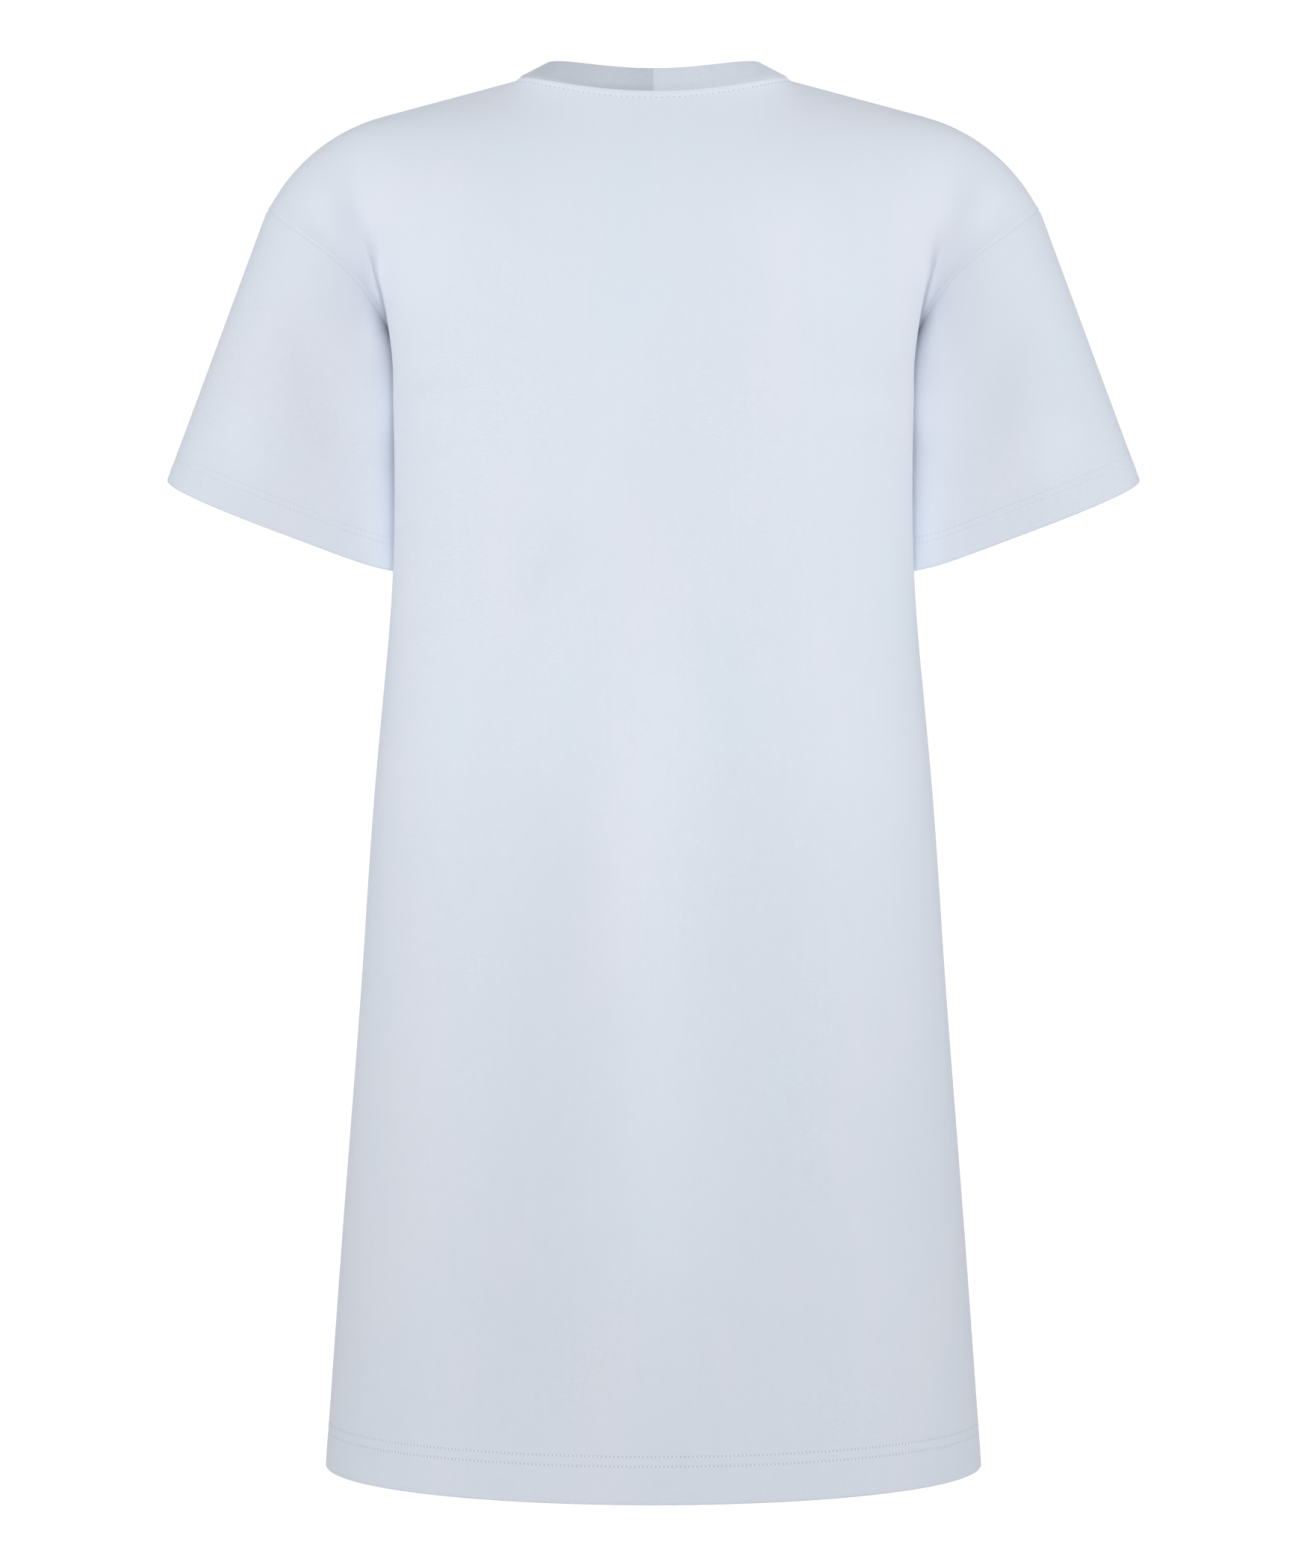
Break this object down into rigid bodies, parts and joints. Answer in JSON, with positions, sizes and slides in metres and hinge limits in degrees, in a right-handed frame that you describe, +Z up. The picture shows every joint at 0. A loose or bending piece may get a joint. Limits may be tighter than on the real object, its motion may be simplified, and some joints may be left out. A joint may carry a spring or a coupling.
{
  "type": "nightshirt",
  "caption": "Short-sleeved A-line nightshirt in plain jersey with dropped shoulders and a ribbed crew neckband, filled out as it is worn with nobody in it.",
  "frame": {"origin": "midway between the high points of the two shoulders, on the neck seam's ends, where the wearer's shoulders hold it up", "axes": "+Z up from the hem to the neck, -Y out of the chest, +X to the wearer's left"},
  "size_m": [0.6548, 0.292, 0.9367],
  "materials": {
    "jersey": "matt pale icy blue cotton jersey",
    "rib": "matt ribbed knit in the same blue"
  },
  "bodies": {
    "root": {"back": "jersey", "front": "jersey", "sleeve_left": "jersey", "sleeve_right": "jersey", "neckband": "rib"}
  },
  "joints": []
}
